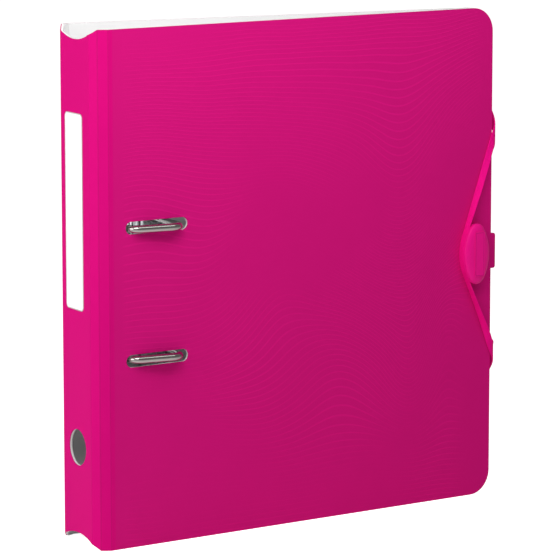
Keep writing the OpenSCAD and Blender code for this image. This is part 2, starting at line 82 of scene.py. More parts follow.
class Wiring:
    """Adds nodes to one shader tree and links them."""

    def __init__(self, tree: bpy.types.NodeTree) -> None:
        """Starts on a tree.

        Args:
            tree: a material's node tree or a node group.
        """
        self.tree = tree

    def add(self, kind: str, **settings: object) -> bpy.types.Node:
        """Adds a node.

        Args:
            kind: the node's class, such as ShaderNodeMath.
            settings: values for its properties.

        Returns:
            The new node.
        """
        node = self.tree.nodes.new(kind)
        for name, value in settings.items():
            setattr(node, name, value)
        return node

    def feed(self, socket: Socket, value: object) -> None:
        """Links a socket to an input, or sets the input to a plain value.

        Args:
            socket: the input.
            value: an output to link, or a plain value.
        """
        if isinstance(value, bpy.types.NodeSocket):
            self.tree.links.new(value, socket)
        else:
            socket.default_value = value

    def settle(self, node: bpy.types.Node, **values: object) -> None:
        """Feeds a node's inputs by name, with _ for a space."""
        for name, value in values.items():
            self.feed(node.inputs[name.replace("_", " ")], value)

    def math(self, operation: str, *values: Value) -> Socket:
        """Works out one sum.

        Args:
            operation: the Math node's operation.
            values: sockets or numbers for its inputs.

        Returns:
            The node's output.
        """
        node = self.add("ShaderNodeMath", operation=operation)
        for socket, value in zip(node.inputs, values):
            self.feed(socket, value)
        return node.outputs[0]

    def fade(
        self, value: Value, start: float, end: float, low: float = 0, high: float = 1
    ) -> Socket:
        """Maps a range of values smoothly onto another.

        Args:
            value: what is mapped.
            start: the value that gives low.
            end: the value that gives high.
            low: the result before start.
            high: the result after end.

        Returns:
            The mapped value.
        """
        node = self.add("ShaderNodeMapRange", interpolation_type="SMOOTHSTEP")
        self.settle(node, Value=value, From_Min=start, From_Max=end, To_Min=low, To_Max=high)
        return node.outputs["Result"]

    def mix(self, factor: Value, first: object, second: object) -> Socket:
        """Mixes two colours.

        Args:
            factor: the second colour's share.
            first: a colour or a socket.
            second: a colour or a socket.

        Returns:
            The mixed colour.
        """
        node = self.add("ShaderNodeMix", data_type="RGBA")
        for index, value in ((0, factor), (6, first), (7, second)):
            self.feed(node.inputs[index], value)
        return node.outputs[2]

    def place(self, scale: Sequence[float] = (1, 1, 1), turn: float = 0) -> Socket:
        """Gives the binder's own coordinates, stretched and turned about Z.

        Args:
            scale: the stretch along each axis.
            turn: the angle about Z, in radians.

        Returns:
            The coordinates.
        """
        source = self.add("ShaderNodeTexCoord").outputs["Object"]
        node = self.add("ShaderNodeMapping")
        self.settle(node, Vector=source, Scale=scale, Rotation=(0, 0, turn))
        return node.outputs["Vector"]

    def seen(self, otherwise: float, value: float) -> Socket:
        """Gives one value to the camera and another to all other rays."""
        camera = self.add("ShaderNodeLightPath").outputs["Is Camera Ray"]
        return self.fade(camera, 0, 1, otherwise, value)

    def noise(
        self, vector: Socket, scale: Value, detail: float = 2, roughness: float = 0.5
    ) -> Socket:
        """Gives noise from 0 to 1.

        Args:
            vector: where it is read.
            scale: cells to the metre.
            detail: the number of finer layers.
            roughness: the strength of the finer layers.

        Returns:
            The noise.
        """
        node = self.add("ShaderNodeTexNoise")
        self.settle(node, Vector=vector, Scale=scale, Detail=detail, Roughness=roughness)
        return node.outputs["Fac"]


class Effect:
    """A shader node group that several finishes share."""

    name: str
    inputs: dict[str, float]
    outputs: tuple[str, ...]

    @classmethod
    def fill(cls, wiring: Wiring, given: Plugs) -> Plugs:
        """Fills the group.

        Args:
            wiring: the group's tree.
            given: the group's inputs by name.

        Returns:
            The group's outputs by name, all plain values.
        """
        raise NotImplementedError

    @classmethod
    def tree(cls) -> bpy.types.NodeTree:
        """Gives the group, made the first time it is asked for.

        Returns:
            The group.
        """
        found = bpy.data.node_groups.get(cls.name)
        if found:
            return found
        tree = bpy.data.node_groups.new(cls.name, "ShaderNodeTree")
        for label, value in cls.inputs.items():
            socket = tree.interface.new_socket(label, in_out="INPUT", socket_type="NodeSocketFloat")
            socket.default_value = value
        for label in cls.outputs:
            tree.interface.new_socket(label, in_out="OUTPUT", socket_type="NodeSocketFloat")
        wiring = Wiring(tree)
        source = wiring.add("NodeGroupInput")
        result = wiring.add("NodeGroupOutput")
        made = cls.fill(wiring, {label: source.outputs[label] for label in cls.inputs})
        for label in cls.outputs:
            wiring.feed(result.inputs[label], made[label])
        return tree

    @classmethod
    def use(cls, wiring: Wiring, **values: Value) -> Plugs:
        """Places the group in a tree.

        Args:
            wiring: the tree that it goes in.
            values: its inputs by name, with _ for a space.

        Returns:
            Its outputs by name.
        """
        node = wiring.add("ShaderNodeGroup")
        node.node_tree = cls.tree()
        wiring.settle(node, **values)
        return {socket.name: socket for socket in node.outputs}


class Grain(Effect):
    """The fine grain of moulded or rolled plastic."""

    name = "Grain"
    inputs = {"Scale": 2400, "Amount": 1}
    outputs = ("Height",)

    @classmethod
    def fill(cls, wiring: Wiring, given: Plugs) -> Plugs:
        """Mixes small cells with finer noise."""
        place = wiring.place()
        cells = wiring.add("ShaderNodeTexVoronoi", feature="SMOOTH_F1")
        wiring.settle(cells, Vector=place, Scale=given["Scale"])
        fine = wiring.noise(place, wiring.math("MULTIPLY", given["Scale"], 2.3), 3, 0.6)
        height = wiring.math("ADD", wiring.math("MULTIPLY", cells.outputs["Distance"], 0.7), fine)
        return {"Height": wiring.math("MULTIPLY", height, given["Amount"])}


class Handling(Effect):
    """Broad soft patches, where hands have polished or dulled a surface."""

    name = "Handling"
    inputs = {"Scale": 14}
    outputs = ("Patch",)

    @classmethod
    def fill(cls, wiring: Wiring, given: Plugs) -> Plugs:
        """Mixes two sizes of patch."""
        place = wiring.place()
        broad = wiring.noise(place, given["Scale"], 2, 0.5)
        small = wiring.noise(place, wiring.math("MULTIPLY", given["Scale"], 7), 3, 0.6)
        small = wiring.math("MULTIPLY", small, 0.3)
        patch = wiring.math("ADD", wiring.math("MULTIPLY", broad, 0.7), small)
        return {"Patch": wiring.fade(patch, 0.38, 0.62)}


class Scratches(Effect):
    """Long fine scratches, from the drawing or brushing of metal."""

    name = "Scratches"
    inputs = {"Scale": 1500}
    outputs = ("Height", "Mask")

    @classmethod
    def fill(cls, wiring: Wiring, given: Plugs) -> Plugs:
        """Stretches noise along Z and thins it to lines."""
        along = wiring.noise(wiring.place((1, 1, 0.04)), given["Scale"], 3, 0.65)
        cross = wiring.noise(wiring.place((0.08, 1, 1), 0.3), given["Scale"], 2, 0.6)
        cross = wiring.math("MULTIPLY", cross, 0.25)
        lines = wiring.math("ADD", wiring.math("MULTIPLY", along, 0.75), cross)
        return {"Height": lines, "Mask": wiring.fade(lines, 0.44, 0.6)}


class Swell(Effect):
    """One smooth hump of a relief over a flat layout."""

    name = "Swell"
    inputs = {
        "Across": 0, "Up": 0, "Middle Across": 0, "Middle Up": 0,
        "Spread Across": 1, "Spread Up": 1, "Rise": 0,
    }
    outputs = ("Height",)

    @classmethod
    def fill(cls, wiring: Wiring, given: Plugs) -> Plugs:
        """Works out the hump's height from how far away its middle is."""
        squares = []
        for axis in ("Across", "Up"):
            far = wiring.math("SUBTRACT", given[axis], given[f"Middle {axis}"])
            share = wiring.math("DIVIDE", far, given[f"Spread {axis}"])
            squares.append(wiring.math("MULTIPLY", share, share))
        fall = wiring.math("EXPONENT", wiring.math("MULTIPLY", wiring.math("ADD", *squares), -1))
        return {"Height": wiring.math("MULTIPLY", fall, given["Rise"])}


# ---- finishes ----


@dataclass(frozen=True)
class Finish:
    """What a surface is made of and how it is worked."""

    name: str
    slot: str
    colour: tuple[float, float, float]
    roughness: float
    metallic: float = 0
    specular: float = 0.5
    ior: float = 1.5
    roughness_spread: float = 0.08
    tint_spread: float = 0.04
    grain_scale: float = 2400
    grain_depth: float = 0.00003

    def material(self) -> bpy.types.Material:
        """Gives the finish's material, made the first time it is asked for.

        Returns:
            The material.
        """
        found = bpy.data.materials.get(self.name)
        if found:
            return found
        made = bpy.data.materials.new(self.name)
        made.use_nodes = True
        made.diffuse_color = (*self.colour, 1)
        wiring = Wiring(made.node_tree)
        shader = made.node_tree.nodes["Principled BSDF"]
        wiring.settle(
            shader, Metallic=self.metallic, Specular_IOR_Level=self.specular, IOR=self.ior
        )
        patch = Handling.use(wiring)["Patch"]
        self.colour_in(wiring, shader, patch)
        spread = self.roughness_spread
        rough = wiring.fade(patch, 0, 1, self.roughness - spread, self.roughness + spread)
        wiring.settle(shader, Roughness=self.rough_in(wiring, rough), Normal=self.relief(wiring))
        return made

    def tone(self, share: float) -> tuple[float, float, float, float]:
        """Gives the colour made lighter or darker by a share."""
        return (*(min(1.0, c * (1 + share)) for c in self.colour), 1)

    def colour_in(self, wiring: Wiring, shader: bpy.types.Node, patch: Socket) -> None:
        """Colours the surface, a little uneven.

        Args:
            wiring: the material's tree.
            shader: its Principled node.
            patch: the broad patches from 0 to 1.
        """
        mixed = wiring.mix(patch, self.tone(-self.tint_spread), self.tone(self.tint_spread))
        wiring.settle(shader, Base_Color=mixed)

    def rough_in(self, wiring: Wiring, rough: Socket) -> Socket:
        """Gives the roughness, which some finishes change further."""
        return rough

    def relief(self, wiring: Wiring) -> Socket:
        """Gives the normal of the fine grain."""
        grain = Grain.use(wiring, Scale=self.grain_scale)["Height"]
        return self.bump(wiring, grain, self.grain_depth)

    @staticmethod
    def bump(wiring: Wiring, height: Socket, depth: float, normal: Socket | None = None) -> Socket:
        """Raises a height into a normal.

        Args:
            wiring: the material's tree.
            height: the relief from 0 to 1.
            depth: how high 1 stands, in metres.
            normal: a coarser relief that this one lies on.

        Returns:
            The normal.
        """
        node = wiring.add("ShaderNodeBump")
        wiring.settle(node, Distance=depth, Height=height)
        if normal:
            wiring.settle(node, Normal=normal)
        return node.outputs["Normal"]


@dataclass(frozen=True)
class Hump:
    """Where the wave lines of the cover rise or sink, in the binder's X and Z."""

    across: float
    up: float
    spread_across: float
    spread_up: float
    rise: float


@dataclass(frozen=True)
class WaveSheet(Finish):
    """The cover's coloured skin, embossed with fine flowing lines."""

    spacing: float = 0.0031
    ridge_depth: float = 0.00007
    ridge_tone: float = 0.12
    start_x: float = -0.133
    stop_x: float = 0.128
    start_blur: float = 0.004
    stop_blur: float = 0.016
    raggedness: float = 0.014
    sway: float = 0.014
    line_share: tuple[float, float] = (0.33, 0.48)
    bare_share: tuple[float, float] = (0.40, 0.56)
    bare_strength: float = 0.1
    humps: tuple[Hump, ...] = (
        Hump(-0.125, 0.222, 0.078, 0.052, 0.028),
        Hump(-0.016, 0.168, 0.040, 0.060, 0.036),
        Hump(0.030, 0.100, 0.036, 0.045, 0.026),
        Hump(0.078, 0.195, 0.034, 0.062, -0.030),
        Hump(0.082, 0.085, 0.018, 0.040, -0.016),
        Hump(0.108, 0.115, 0.017, 0.048, 0.024),
        Hump(0.155, 0.195, 0.046, 0.090, 0.060),
        Hump(-0.115, 0.062, 0.050, 0.022, 0.016),
        Hump(0.020, 0.300, 0.110, 0.020, 0.008),
    )

    def ridges(self, wiring: Wiring) -> Socket:
        """Gives the embossed lines, as the contours of a rolling field.

        Args:
            wiring: the material's tree.

        Returns:
            1 on a line and 0 between the lines.
        """
        split = wiring.add("ShaderNodeSeparateXYZ")
        wiring.feed(split.inputs[0], wiring.place())
        across, up = split.outputs["X"], split.outputs["Z"]
        level = up
        for hump in self.humps:
            height = Swell.use(
                wiring, Across=across, Up=up, Middle_Across=hump.across, Middle_Up=hump.up,
                Spread_Across=hump.spread_across, Spread_Up=hump.spread_up, Rise=hump.rise,
            )["Height"]
            level = wiring.math("SUBTRACT", level, height)
        sway = wiring.math("SUBTRACT", wiring.noise(wiring.place((1, 0, 1)), 11, 1, 0.4), 0.5)
        level = wiring.math("MULTIPLY_ADD", sway, self.sway, level)
        phase = wiring.math("PINGPONG", wiring.math("DIVIDE", level, self.spacing), 0.5)
        line = wiring.fade(phase, *self.line_share)
        near = wiring.fade(across, self.start_x, self.start_x + self.start_blur)
        ragged = wiring.math("MULTIPLY_ADD", wiring.fade(up, 0.06, 0.2), -self.raggedness, across)
        far = wiring.fade(ragged, self.stop_x - self.stop_blur, self.stop_x, 1, 0)
        patchy = wiring.noise(wiring.place((1, 0, 1)), 8, 1, 0.5)
        patches = wiring.fade(patchy, *self.bare_share, self.bare_strength, 1)
        ends = wiring.math("MULTIPLY", near, far)
        return wiring.math("MULTIPLY", wiring.math("MULTIPLY", line, patches), ends)

    def colour_in(self, wiring: Wiring, shader: bpy.types.Node, patch: Socket) -> None:
        """Colours the sheet, a little lighter along the lines."""
        ground = wiring.mix(patch, self.tone(-self.tint_spread), self.tone(self.tint_spread))
        lined = wiring.mix(self.ridges(wiring), ground, self.tone(self.ridge_tone))
        wiring.settle(shader, Base_Color=lined)

    def relief(self, wiring: Wiring) -> Socket:
        """Gives the normal of the lines on the sheet's grain."""
        return self.bump(wiring, self.ridges(wiring), self.ridge_depth, super().relief(wiring))


@dataclass(frozen=True)
class Metal(Finish):
    """Plated metal with drawn or brushed lines."""

    line_scale: float = 1500
    line_depth: float = 0.000008

    def rough_in(self, wiring: Wiring, rough: Socket) -> Socket:
        """Dulls the metal along its lines."""
        mask = Scratches.use(wiring, Scale=self.line_scale)["Mask"]
        return wiring.math("MULTIPLY_ADD", mask, self.roughness_spread, rough)

    def relief(self, wiring: Wiring) -> Socket:
        """Gives the normal of the lines."""
        lines = Scratches.use(wiring, Scale=self.line_scale)["Height"]
        return self.bump(wiring, lines, self.line_depth)


@dataclass(frozen=True)
class Woven(Finish):
    """Flat elastic: ribs along its length, crossed by fine weft."""

    ribs: float = 9
    weft: float = 0.0005
    rib_share: float = 0.6
    thread_depth: float = 0.00012
    gap_tone: float = -0.18
    thread_tone: float = 0.05

    def threads(self, wiring: Wiring) -> Socket:
        """Gives the ribs and the weft, from the strap's own measures along and across it.

        Args:
            wiring: the material's tree.

        Returns:
            1 on a thread and 0 between the threads.
        """
        along = wiring.add("ShaderNodeAttribute", attribute_name="along").outputs["Fac"]
        across = wiring.add("ShaderNodeAttribute", attribute_name="across").outputs["Fac"]
        rib = wiring.math("SINE", wiring.math("MULTIPLY", across, math.pi * self.ribs))
        rib = wiring.math("ABSOLUTE", rib)
        turns = wiring.math("DIVIDE", along, self.weft / math.pi)
        pick = wiring.math("ABSOLUTE", wiring.math("SINE", wiring.math("ADD", turns, rib)))
        pick = wiring.math("MULTIPLY", pick, 1 - self.rib_share)
        return wiring.math("ADD", wiring.math("MULTIPLY", rib, self.rib_share), pick)

    def colour_in(self, wiring: Wiring, shader: bpy.types.Node, patch: Socket) -> None:
        """Darkens the elastic between its threads."""
        gap, thread = self.tone(self.gap_tone), self.tone(self.thread_tone)
        shade = wiring.mix(self.threads(wiring), gap, thread)
        wiring.settle(shader, Base_Color=shade)

    def relief(self, wiring: Wiring) -> Socket:
        """Gives the normal of the threads."""
        return self.bump(wiring, self.threads(wiring), self.thread_depth)


SKIN = Finish("sheet_skin", "pink_skin", (0.65, 0.0035, 0.184), 0.45, ior=1.07,
              roughness_spread=0.03, tint_spread=0.01)
# Painted shade: a darker pink laid along each fold line, standing in for the shade in the crease.
CREASE_SHADE = Finish("sheet_crease_painted_shade", "pink_skin", (0.57, 0.005, 0.160), 0.5, ior=1.07, tint_spread=0.01)
# Painted light: the front cover's skin is the same sheet as SKIN, but its colour is set apart, a
# little darker red and greener, to match how light falls on the front cover.
WAVES = WaveSheet("sheet_wave_skin", "pink_skin", (0.62, 0.0075, 0.184), 0.45, ior=1.07,
                  roughness_spread=0.03, tint_spread=0.01)
CORE = Finish("sheet_core", "white_core", (0.88, 0.875, 0.875), 0.55, specular=0.3,
              tint_spread=0.01)
LABEL = Finish("label_card", "label_paper", (0.97, 0.97, 0.97), 0.5, specular=0.3,
               tint_spread=0.006, grain_scale=3500, grain_depth=0.00001)
# Painted shade: a grey ring round the label card, standing in for the shade of its sleeve's edge.
LABEL_RIM_SHADE = Finish("label_rim_painted_shade", "label_paper", (0.50, 0.47, 0.46), 0.5, specular=0.3)
BUTTON = Finish("button_plastic", "button_pink", (0.84, 0.0055, 0.245), 0.34, ior=1.2,
                tint_spread=0.01, grain_scale=3200, grain_depth=0.000012)
# Painted shade: darker pink on the sloped walls of the name plate's sunk field, standing in for the
# shade there.
BUTTON_GROOVE_SHADE = Finish("button_groove_painted_shade", "button_pink", (0.60, 0.0045, 0.18), 0.45, ior=1.2)
ELASTIC = Woven("elastic_weave", "elastic_pink", (0.92, 0.0055, 0.262), 0.62, ior=1.07)
STEEL = Metal("zinc_steel", "plated_steel", (0.60, 0.61, 0.63), 0.30, metallic=1)
CHROME = Metal("bright_chrome", "ring_chrome", (0.44, 0.42, 0.40), 0.12, metallic=1,
               roughness_spread=0.03, line_depth=0.000002)
BLACK = Finish("grip_plastic", "black_plastic", (0.022, 0.022, 0.024), 0.48, grain_scale=1800)
NYLON = Finish("roller_nylon", "roller_plastic", (0.80, 0.80, 0.77), 0.42)


# ---- shapes ----


def stand(name: str, data: bpy.types.ID | bmesh.types.BMesh) -> bpy.types.Object:
    """Stands a lamp, a camera or a shape in the scene.

    Args:
        name: the object's name.
        data: its data, or a shape, which is freed.

    Returns:
        The object.
    """
    if isinstance(data, bmesh.types.BMesh):
        mesh = bpy.data.meshes.new(name)
        data.to_mesh(mesh)
        data.free()
        data = mesh
    made = bpy.data.objects.new(name, data)
    bpy.context.scene.collection.objects.link(made)
    return made


class Shaper:
    """Turns a bmesh into a finished piece of the binder."""

    @staticmethod
    def piece(
        bm: bmesh.types.BMesh,
        name: str,
        finishes: Sequence[Finish],
        body: str | None,
        replaces: Sequence[str] = (),
        smooth: float = 34,
        weighted: bool = True,
    ) -> bpy.types.Object:
        """Makes the object, dresses it and joins it to its body.

        Args:
            bm: the shape, in the binder's own place. It is freed.
            name: the piece's name.
            finishes: its materials, in the order of its faces' indices.
            body: the CAD body that it rides on, or None to leave it on no body.
            replaces: the CAD nodes that it stands for.
            smooth: edges under this angle are shaded smooth, in degrees.
            weighted: lets large flat faces hold their shading flat.

        Returns:
            The object.
        """
        bmesh.ops.recalc_face_normals(bm, faces=bm.faces[:])
        piece = stand(name, bm)
        mesh = piece.data
        mesh.polygons.foreach_set("use_smooth", [True] * len(mesh.polygons))
        mesh.set_sharp_from_angle(angle=math.radians(smooth))
        for finish in finishes:
            mesh.materials.append(finish.material())
        if weighted:
            modifier = piece.modifiers.new("Flat faces", "WEIGHTED_NORMAL")
            modifier.keep_sharp = True
        if body:
            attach(piece, body)
        if replaces:
            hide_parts(*replaces)
        log.info("%s: %d faces on %s", name, len(mesh.polygons), body)
        return piece

    @staticmethod
    def merged(node: str) -> bmesh.types.BMesh:
        """Gives a copy of a CAD node's shape with its loose triangles joined into faces.

        Args:
            node: the CAD node.

        Returns:
            The copy.
        """
        bm = bmesh.new()
        bm.from_mesh(frame["nodes"][node].data)
        bmesh.ops.remove_doubles(bm, verts=bm.verts[:], dist=0.000001)
        bmesh.ops.dissolve_limit(
            bm, angle_limit=math.radians(0.3), verts=bm.verts[:], edges=bm.edges[:]
        )
        return bm

    @staticmethod
    def soften(bm: bmesh.types.BMesh, width: float, angle: float = 32, segments: int = 2) -> None:
        """Rounds the sharp edges.

        Args:
            bm: the shape.
            width: the rounding's width.
            angle: edges that turn by more than this many degrees are rounded.
            segments: the rounding's steps.
        """
        least = math.radians(angle)
        sharp = [e for e in bm.edges if e.is_manifold and e.calc_face_angle(0) > least]
        bmesh.ops.bevel(bm, geom=sharp, offset=width, offset_type="OFFSET", segments=segments,
                        profile=0.5, affect="EDGES", clamp_overlap=True, material=-1)

    @classmethod
    def refined(
        cls, node: str, body: str, finish: Finish, width: float, angle: float = 32
    ) -> bpy.types.Object:
        """Stands a softened copy in for a CAD node.

        Args:
            node: the CAD node.
            body: the body that it rides on.
            finish: its finish.
            width: how far its edges are rounded, or 0.
            angle: edges that turn by more than this many degrees are rounded.

        Returns:
            The piece.
        """
        bm = cls.merged(node)
        if width:
            cls.soften(bm, width, angle)
        return cls.piece(bm, f"{node}_finished", (finish,), body, (node,))


@dataclass(frozen=True)
class Panel:
    """One flat panel of the case: its outer face, and where it lies."""

    origin: Vector
    along: Vector
    out: Vector

    @classmethod
    def of(cls, skin: str, foot: Vector) -> "Panel":
        """Reads a panel from its CAD skin.

        Args:
            skin: the CAD node.
            foot: a point on its starting fold line.

        Returns:
            The panel, whose origin is the foot brought to the outer face at the floor.
        """
        faces = frame["nodes"][skin].data.polygons
        widest = max(faces, key=lambda face: face.area)
        out = widest.normal.copy()
        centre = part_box(skin)[0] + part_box(skin)[1]
        if out.dot(Vector((centre.x / 2, centre.y / 2, 0)) - INSIDE) < 0:
            out = -out
        top = max(out.dot(v.co) for v in frame["nodes"][skin].data.vertices)
        origin = foot + out * (top - out.dot(foot))
        origin.z = 0
        return cls(origin, UP.cross(out), out)

    def at(self, along: float, up: float, height: float = 0) -> Vector:
        """Gives the point so far along the panel, up it and out of its face."""
        return self.origin + self.along * along + UP * up + self.out * height

    def matrix(self, along: float, up: float, height: float = 0) -> Matrix:
        """Gives the place of a shape drawn in X and Y with Z out of the face."""
        turn = Matrix((self.along, UP, self.out)).transposed().to_4x4()
        return Matrix.Translation(self.at(along, up, height)) @ turn


def pivot(name: str) -> Vector:
    """Gives the place of a hinge, by its joint's name."""
    return Vector(next(joint for joint in frame["joints"] if joint["name"] == name)["pos_m"])


# ---- case ----


@dataclass(frozen=True)
class Fold:
    """One crease of the case: how far its web reaches, and half the width of its band of painted
    crease shade.
    """

    joint: str
    reach: float
    line: float


@dataclass
class Case:
    """The folded sheet: coloured skin outside, pale core inside."""

    skin_round: float = 0.12 * MM
    core_round: float = 0.1 * MM
    web_lift: float = 0.02 * MM
    web_sheet: float = 0.06 * MM
    soft_half: float = 0.45 * MM
    end_zones: tuple[float, float] = (30 * MM, 288 * MM)
    bodies: tuple[str, ...] = (
        "back_cover", "back_strip_outer", "back_strip_inner", "spine",
        "front_strip_inner", "front_strip_outer", "front_cover",
    )
    folds: tuple[Fold, ...] = (
        Fold("back_fold_1", 3.0 * MM, 0.25 * MM),
        Fold("back_fold_2", 3.0 * MM, 0.4 * MM),
        Fold("back_fold_3", 3.0 * MM, 0.06 * MM),
        Fold("front_fold_1", 3.0 * MM, 0.06 * MM),
        Fold("front_fold_2", 3.0 * MM, 0.4 * MM),
        Fold("front_fold_3", 3.0 * MM, 0.25 * MM),
    )

    @staticmethod
    def stem(body: str) -> str:
        """Gives the first part of a panel's node names."""
        return body.removesuffix("_cover")

    def panel(self, body: str) -> Panel:
        """Gives a panel's place."""
        index = self.bodies.index(body)
        return Panel.of(f"{self.stem(body)}_skin", pivot(self.folds[max(index - 1, 0)].joint))

    def ends(self, body: str, foot: Vector, along: float) -> tuple[float, float]:
        """Gives a panel's lowest and highest point at some distance from a fold.

        Args:
            body: the panel's body.
            foot: a point on the fold.
            along: the distance from the fold, the way that the panels run.

        Returns:
            The two heights.
        """
        panel = self.panel(body)
        ends = []
        for upper in (False, True):
            outline = sorted(
                (panel.along.dot(v.co - foot), v.co.z)
                for v in frame["nodes"][f"{self.stem(body)}_skin"].data.vertices
                if (v.co.z > self.end_zones[1] if upper else v.co.z < self.end_zones[0])
            )
            before = [spot for spot in outline if spot[0] <= along] or outline[:1]
            after = [spot for spot in outline if spot[0] >= along] or outline[-1:]
            gap = after[0][0] - before[-1][0]
            share = (along - before[-1][0]) / gap if gap > 0 else 0
            ends.append(before[-1][1] + (after[0][1] - before[-1][1]) * share)
        return ends[0], ends[1]

    def build(self) -> None:
        """Builds all the panels and the webs between them."""
        for body in self.bodies:
            stem = self.stem(body)
            skin = WAVES if body == self.bodies[-1] else SKIN
            Shaper.refined(f"{stem}_skin", body, skin, self.skin_round)
            Shaper.refined(f"{stem}_core", body, CORE, self.core_round)
        for first, second, fold in zip(self.bodies, self.bodies[1:], self.folds):
            self.web(first, second, fold)

    def web(self, first: str, second: str, fold: Fold) -> None:
        """Lays the thin living web over one fold, so that the sheet bends softly there.

        Args:
            first: the body before the fold, from the back cover.
            second: the body after it.
            fold: the fold's sizes.
        """
        one, two = self.panel(first), self.panel(second)
        foot = pivot(fold.joint)
        mean = (one.out + two.out).normalized()
        columns = (-fold.reach, -fold.line, 0.0, fold.line, fold.reach)
        bm = bmesh.new()
        bmesh.ops.create_grid(bm, x_segments=len(columns) - 1, y_segments=1, size=1)
        for vert in bm.verts:
            along = columns[round((vert.co.x + 1) / 2 * (len(columns) - 1))]
            side = one if along < 0 else two
            out = side.out if along else mean
            level = (side.origin - foot).dot(side.out)
            point = foot + side.along * along + out * (level + self.web_lift)
            low, high = self.ends(first if along < 0 else second, foot, along)
            vert.co = Vector((point.x, point.y, high if vert.co.y > 0 else low))
        bmesh.ops.recalc_face_normals(bm, faces=bm.faces[:])
        if sum((f.normal for f in bm.faces), Vector()).dot(mean) < 0:
            bmesh.ops.reverse_faces(bm, faces=bm.faces[:])
        # Faces near the fold line take the painted crease shade.
        for face in bm.faces:
            spot = face.calc_center_median() - foot
            in_crease_shade = -fold.line < spot.dot(one.along) and spot.dot(two.along) < fold.line
            face.material_index = int(in_crease_shade)
        bmesh.ops.solidify(bm, geom=bm.faces[:], thickness=self.web_sheet)
        name = f"{fold.joint}_web"
        piece = Shaper.piece(bm, name, (SKIN, CREASE_SHADE), None, smooth=60, weighted=False)
        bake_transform(piece)


@dataclass
class Label:
    """The card on the spine, in its thin sleeve, with a grey ring of painted shade along the
    sleeve's edge.
    """

    rim: float = 0.55 * MM
    sink: float = 0.12 * MM

    def build(self, panel: Panel) -> None:
        """Builds the label.

        Args:
            panel: the spine.
        """
        bm = Shaper.merged("spine_label")
        face = max(bm.faces, key=lambda f: f.normal.dot(panel.out) * f.calc_area())
        bmesh.ops.inset_region(bm, faces=[face], thickness=self.rim, use_even_offset=True)
        # The ring round the card takes the painted shade.
        for ring in (f for f in bm.faces if f is not face):
            ring.material_index = 1
        bmesh.ops.inset_region(bm, faces=[face], thickness=self.sink, depth=-self.sink,
                               use_even_offset=True)
        finishes = (LABEL, LABEL_RIM_SHADE)
        Shaper.piece(bm, "spine_label_card", finishes, "spine", ("spine_label",), smooth=50)


# ---- closure ----


def drawn_out(
    bm: bmesh.types.BMesh, edges: Sequence[bmesh.types.BMEdge]
) -> tuple[list[bmesh.types.BMEdge], list[bmesh.types.BMVert]]:
    """Extrudes a loop of edges once.

    Args:
        bm: the shape.
        edges: the loop.

    Returns:
        The new loop's edges and vertices.
    """
    made = bmesh.ops.extrude_edge_only(bm, edges=edges)["geom"]
    kinds = (bmesh.types.BMEdge, bmesh.types.BMVert)
    new_edges, new_verts = ([part for part in made if isinstance(part, kind)] for kind in kinds)
    return new_edges, new_verts


@dataclass
class Ribbon:
    """Flat elastic with round sides, swept along a path, which may twist."""

    width: float
    thickness: float
    round_steps: int = 3
    flat_steps: int = 9

    def section(self, bm: bmesh.types.BMesh) -> list[bmesh.types.BMVert]:
        """Draws the section about the origin, in X (width) and Y (thickness).

        Args:
            bm: where it is drawn.

        Returns:
            Its vertices.
        """
        radius = self.thickness / 2
        steps = 8 * self.round_steps
        made = bmesh.ops.create_circle(bm, cap_ends=False, segments=steps, radius=radius)
        for vert in made["verts"]:
            vert.co.x += math.copysign(self.width / 2 - radius, vert.co.x)
        sides = [edge for edge in bm.edges if edge.calc_length() > radius]
        bmesh.ops.subdivide_edges(bm, edges=sides, cuts=self.flat_steps)
        return bm.verts[:]

    def sweep(self, stations: Sequence[tuple[Vector, Vector, Vector]]) -> bmesh.types.BMesh:
        """Sweeps the section through stations.

        Args:
            stations: the centre, the direction of the width and the way out of the face, at each.

        Returns:
            The ribbon, with its ends closed.
        """
        bm = bmesh.new()
        along = bm.verts.layers.float.new("along")
        across = bm.verts.layers.float.new("across")
        verts = self.section(bm)
        edges = bm.edges[:]
        flat = [vert.co.copy() for vert in verts]
        ends = [edges]
        travelled = 0.0
        for index, (centre, wide, out) in enumerate(stations):
            if index:
                travelled += (centre - stations[index - 1][0]).length
                known = set(verts)
                edges, fresh = drawn_out(bm, edges)
                pairs = ((edge.other_vert(v), v) for v in fresh for edge in v.link_edges)
                twin = {old: new for old, new in pairs if old in known}
                verts = [twin[v] for v in verts]
            for vert, spot in zip(verts, flat):
                vert.co = centre + wide * spot.x + out * spot.y
                vert[along] = travelled
                vert[across] = spot.x / self.width
        ends.append(edges)
        for loop in ends:
            bmesh.ops.contextual_create(bm, geom=loop)
        return bm


